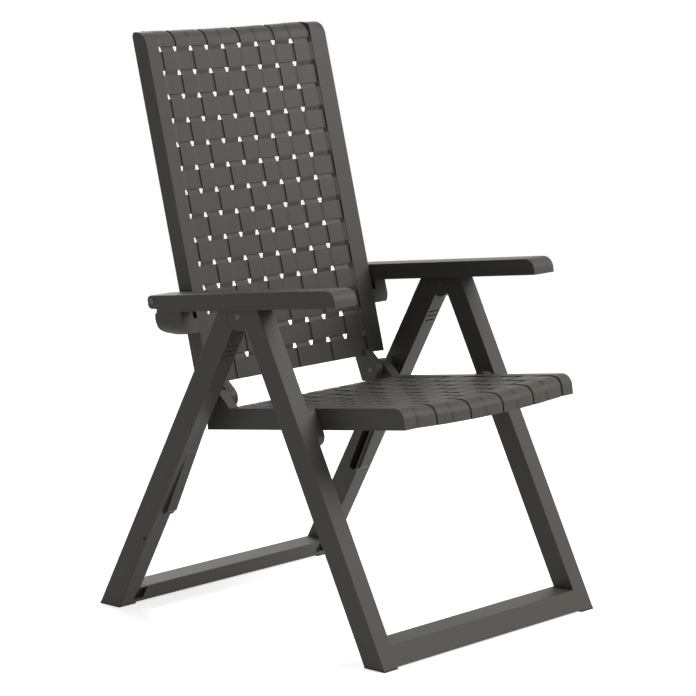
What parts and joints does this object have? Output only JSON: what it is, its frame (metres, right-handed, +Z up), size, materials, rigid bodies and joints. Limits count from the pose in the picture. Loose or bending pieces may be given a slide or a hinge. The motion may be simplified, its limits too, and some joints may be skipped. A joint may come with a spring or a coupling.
{
  "type": "reclining garden armchair",
  "caption": "Folding, reclining garden armchair in dark brown moulded resin, with woven-look seat and high back, channel armrests and crossed legs.",
  "frame": {"origin": "on the ground, in the middle of the chair's outer box seen from above", "axes": "+Z up; -Y the way a seated person faces; +X to the right when looking along +Y, from the front"},
  "size_m": [0.6096, 0.7151, 1.0712],
  "materials": {
    "resin": "satin moulded resin, dark brown grey",
    "insert_plastic": "satin, the same dark brown as the frame",
    "foot_plastic": "matt dark plastic",
    "bearing_plastic": "smooth dark plastic",
    "pin_steel": "dull steel"
  },
  "bodies": {
    "front_frame": {"front_frame": "resin", "front_foot_left": "foot_plastic", "front_foot_right": "foot_plastic", "frame_pin_left": "pin_steel", "frame_pin_right": "pin_steel", "locking_pin_left": "pin_steel", "locking_pin_right": "pin_steel", "seat_pin_left": "pin_steel", "seat_pin_right": "pin_steel"},
    "rear_frame": {"rear_frame": "resin", "rear_foot_left": "foot_plastic", "rear_foot_right": "foot_plastic", "guide_rail_left": "insert_plastic", "guide_rail_right": "insert_plastic"},
    "seat": {"seat": "resin", "seat_bush_left": "bearing_plastic", "seat_bush_right": "bearing_plastic"},
    "backrest": {"backrest": "resin", "hinge_pin_left": "pin_steel", "hinge_pin_right": "pin_steel", "roller_left": "bearing_plastic", "roller_right": "bearing_plastic", "armrest_bush_left": "bearing_plastic", "armrest_bush_right": "bearing_plastic"},
    "armrest_left": {"armrest_left": "resin", "notch_rack_left": "insert_plastic", "armrest_pin_left": "pin_steel"},
    "armrest_right": {"armrest_right": "resin", "notch_rack_right": "insert_plastic", "armrest_pin_right": "pin_steel"}
  },
  "joints": [
    {"name": "seat_fold", "type": "hinge", "parent": "front_frame", "child": "seat", "pos_m": [0, -0.128, 0.411], "axis": [-1, 0, 0], "range_deg": [0, 101.6]},
    {"name": "rear_fold", "type": "hinge", "parent": "front_frame", "child": "rear_frame", "pos_m": [0, -0.007, 0.584], "axis": [-1, 0, 0], "range_deg": [0, 52.1]},
    {"name": "back_fold", "type": "hinge", "parent": "seat", "child": "backrest", "pos_m": [0, 0.111, 0.411], "axis": [1, 0, 0], "range_deg": [0, 69.7]},
    {"name": "arm_fold_left", "type": "hinge", "parent": "backrest", "child": "armrest_left", "pos_m": [-0.274, 0.2, 0.592], "axis": [-1, 0, 0], "range_deg": [0, 100.2]},
    {"name": "arm_fold_right", "type": "hinge", "parent": "backrest", "child": "armrest_right", "pos_m": [0.274, 0.2, 0.592], "axis": [-1, 0, 0], "range_deg": [0, 100.2]}
  ],
  "couplings": [
    {"joint": "rear_fold", "follows": "seat_fold", "ratio": 0.51181},
    {"joint": "back_fold", "follows": "seat_fold", "ratio": 0.685},
    {"joint": "arm_fold_left", "follows": "seat_fold", "ratio": 0.985},
    {"joint": "arm_fold_right", "follows": "seat_fold", "ratio": 0.985}
  ]
}
